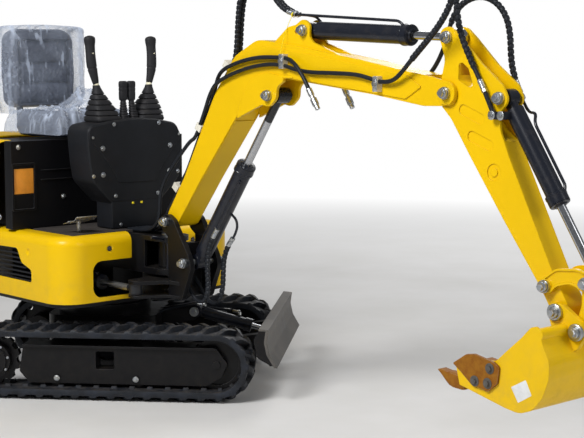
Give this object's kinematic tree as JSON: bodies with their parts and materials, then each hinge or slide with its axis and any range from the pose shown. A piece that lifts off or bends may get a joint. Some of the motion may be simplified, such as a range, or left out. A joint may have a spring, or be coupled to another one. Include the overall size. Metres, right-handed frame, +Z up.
{
  "type": "mini excavator",
  "caption": "Small tracked excavator with an open operator's seat, a swing boom, arm and toothed bucket, and a dozer blade, its hydraulic cylinders and links jointed.",
  "frame": {"origin": "on the ground under the slew centre", "axes": "+X forward along the tracks, towards the blade; +Y to the machine's left; +Z up"},
  "size_m": [2.7853, 2.5973, 1.7195],
  "materials": {
    "track_rubber": "moulded rubber, dusty",
    "black_paint": "satin black enamel",
    "yellow_paint": "gloss yellow enamel",
    "black_plastic": "moulded, fine grain",
    "black_rubber": "ribbed rubber",
    "seat_cover": "quilted seat cover under clear film",
    "engine_iron": "plain block",
    "chrome_rod": "hard chrome",
    "cylinder_black": "gloss black enamel",
    "zinc_steel": "zinc plated",
    "tooth_orange": "rust-brown primer, worn",
    "hose_rubber": "wire-braided hose, smooth cover",
    "clamp_plastic": "moulded cream blocks and straps",
    "bright_steel": "bright plated steel",
    "worn_steel": "grey paint scoured pale"
  },
  "bodies": {
    "undercarriage": {"track_right": "track_rubber", "track_left": "track_rubber", "track_frames": "black_paint", "idlers": "black_paint", "sprockets": "black_paint", "travel_motors": "black_paint", "rollers": "black_paint", "car_body": "black_paint", "slew_ring": "black_paint", "car_pins": "zinc_steel"},
    "blade": {"blade": "black_paint", "blade_face": "worn_steel", "blade_pins": "zinc_steel"},
    "blade_cylinder": {"blade_cylinder": "cylinder_black"},
    "blade_rod": {"blade_rod": "chrome_rod"},
    "upper": {"upper_frame": "black_paint", "skirt_right": "yellow_paint", "skirt_left": "yellow_paint", "vent_grille": "black_plastic", "counterweight": "yellow_paint", "engine_cover": "yellow_paint", "engine": "engine_iron", "seat_box": "black_paint", "floor_mat": "black_rubber", "console": "black_plastic", "joystick_boots": "black_rubber", "joysticks": "black_plastic", "travel_levers": "black_plastic", "pedal": "bright_steel", "seat": "seat_cover"},
    "swing_bracket": {"swing_bracket": "black_paint", "bracket_pins": "zinc_steel", "boom_cylinder_hoses": "hose_rubber"},
    "swing_cylinder": {"swing_cylinder": "cylinder_black"},
    "swing_rod": {"swing_rod": "chrome_rod"},
    "boom": {"boom": "yellow_paint", "boom_pins": "zinc_steel", "boom_hoses": "hose_rubber", "foot_hoses": "hose_rubber", "hose_clamps": "clamp_plastic", "arm_hoses": "hose_rubber", "aux_hose_right": "hose_rubber", "aux_hose_left": "hose_rubber", "quick_coupler_right": "bright_steel", "quick_coupler_left": "bright_steel"},
    "boom_cylinder": {"boom_cylinder": "cylinder_black"},
    "boom_rod": {"boom_rod": "chrome_rod"},
    "arm_cylinder": {"arm_cylinder": "cylinder_black"},
    "arm_rod": {"arm_rod": "chrome_rod"},
    "arm": {"arm": "yellow_paint", "arm_pins": "zinc_steel"},
    "bucket_cylinder": {"bucket_cylinder": "cylinder_black"},
    "bucket_rod": {"bucket_rod": "chrome_rod"},
    "idler_links": {"idler_links": "yellow_paint", "idler_pins": "zinc_steel"},
    "bucket_link": {"bucket_link": "yellow_paint"},
    "bucket": {"bucket": "yellow_paint", "bucket_teeth": "tooth_orange", "side_cutters": "tooth_orange", "bucket_pins": "zinc_steel"}
  },
  "joints": [
    {"name": "slew", "type": "hinge", "parent": "undercarriage", "child": "upper", "pos_m": [0, 0, 0.345], "axis": [0, 0, 1], "continuous": true},
    {"name": "boom_swing", "type": "hinge", "parent": "upper", "child": "swing_bracket", "pos_m": [0.34185, -0.3078, 0.585], "axis": [0, 0, 1], "range_deg": [-50, 60]},
    {"name": "boom_lift", "type": "hinge", "parent": "swing_bracket", "child": "boom", "pos_m": [0.4013, -0.36133, 0.727], "axis": [-0.6691, -0.7431, 0], "range_deg": [-60, 45], "deforming": ["foot_hoses", "boom_cylinder_hoses"]},
    {"name": "arm_crowd", "type": "hinge", "parent": "boom", "child": "arm", "pos_m": [1.48109, -1.33358, 1.263], "axis": [0.6691, 0.7431, 0], "range_deg": [-49, 66], "deforming": ["arm_hoses"]},
    {"name": "bucket_curl", "type": "hinge", "parent": "arm", "child": "bucket", "pos_m": [1.82293, -1.64138, 0.615], "axis": [0.6691, 0.7431, 0], "range_deg": [-112, 30]},
    {"name": "blade_lift", "type": "hinge", "parent": "undercarriage", "child": "blade", "pos_m": [0.335, 0, 0.15], "axis": [0, -1, 0], "range_deg": [-40, 6]},
    {"name": "swing_cylinder_turn", "type": "hinge", "parent": "upper", "child": "swing_cylinder", "pos_m": [-0.18807, -0.05942, 0.457], "axis": [0, 0, 1], "range_deg": [-2.09, 2.31]},
    {"name": "swing_rod_slide", "type": "slide", "parent": "swing_cylinder", "child": "swing_rod", "axis": [0.7431, -0.6691, 0], "range_m": [-0.1304, 0.156]},
    {"name": "boom_cylinder_tilt", "type": "hinge", "parent": "swing_bracket", "child": "boom_cylinder", "pos_m": [0.4875, -0.43895, 0.572], "axis": [-0.6691, -0.7431, 0], "range_deg": [-58.66, 44.24]},
    {"name": "boom_rod_slide", "type": "slide", "parent": "boom_cylinder", "child": "boom_rod", "axis": [0.4345, -0.3912, 0.8113], "range_m": [-0.1809, 0.1361]},
    {"name": "arm_cylinder_tilt", "type": "hinge", "parent": "boom", "child": "arm_cylinder", "pos_m": [0.96757, -0.87121, 1.472], "axis": [0.6691, 0.7431, 0], "range_deg": [-1.58, 1.79]},
    {"name": "arm_rod_slide", "type": "slide", "parent": "arm_cylinder", "child": "arm_rod", "axis": [0.7424, -0.6684, -0.0453], "range_m": [-0.1308, 0.1755]},
    {"name": "bucket_cylinder_tilt", "type": "hinge", "parent": "arm", "child": "bucket_cylinder", "pos_m": [1.63715, -1.47409, 1.251], "axis": [0.6691, 0.7431, 0], "range_deg": [-1.01, 1]},
    {"name": "bucket_rod_slide", "type": "slide", "parent": "bucket_cylinder", "child": "bucket_rod", "axis": [0.4072, -0.3666, -0.8366], "range_m": [-0.1635, 0.0452]},
    {"name": "idler_turn", "type": "hinge", "parent": "arm", "child": "idler_links", "pos_m": [1.78652, -1.60859, 0.687], "axis": [0.6691, 0.7431, 0], "range_deg": [-66.25, 18.48]},
    {"name": "bucket_link_turn", "type": "hinge", "parent": "bucket", "child": "bucket_link", "pos_m": [1.88164, -1.69424, 0.564], "axis": [0.6691, 0.7431, 0], "range_deg": [-24.55, 88.93]},
    {"name": "blade_cylinder_tilt", "type": "hinge", "parent": "undercarriage", "child": "blade_cylinder", "pos_m": [0.395, 0, 0.297], "axis": [0, -1, 0], "range_deg": [-38.62, 6.64]},
    {"name": "blade_rod_slide", "type": "slide", "parent": "blade_cylinder", "child": "blade_rod", "axis": [0.9681, 0, -0.2507], "range_m": [-0.0182, 0.1099]}
  ],
  "couplings": [
    {"joint": "swing_cylinder_turn", "follows": "boom_swing", "ratio": 0.0219},
    {"joint": "swing_rod_slide", "follows": "boom_swing", "m_per_rad": 0.1471},
    {"joint": "boom_cylinder_tilt", "follows": "boom_lift", "ratio": 0.961},
    {"joint": "boom_rod_slide", "follows": "boom_lift", "m_per_rad": 0.1708},
    {"joint": "arm_cylinder_tilt", "follows": "arm_crowd", "ratio": 0.0119},
    {"joint": "arm_rod_slide", "follows": "arm_crowd", "m_per_rad": 0.1506},
    {"joint": "bucket_cylinder_tilt", "follows": "bucket_curl", "ratio": 0.0001},
    {"joint": "bucket_rod_slide", "follows": "bucket_curl", "m_per_rad": 0.0826},
    {"joint": "idler_turn", "follows": "bucket_curl", "ratio": 0.5826},
    {"joint": "bucket_link_turn", "follows": "bucket_curl", "ratio": -0.7851},
    {"joint": "blade_cylinder_tilt", "follows": "blade_lift", "ratio": 0.9406},
    {"joint": "blade_rod_slide", "follows": "blade_lift", "m_per_rad": -0.1545}
  ]
}
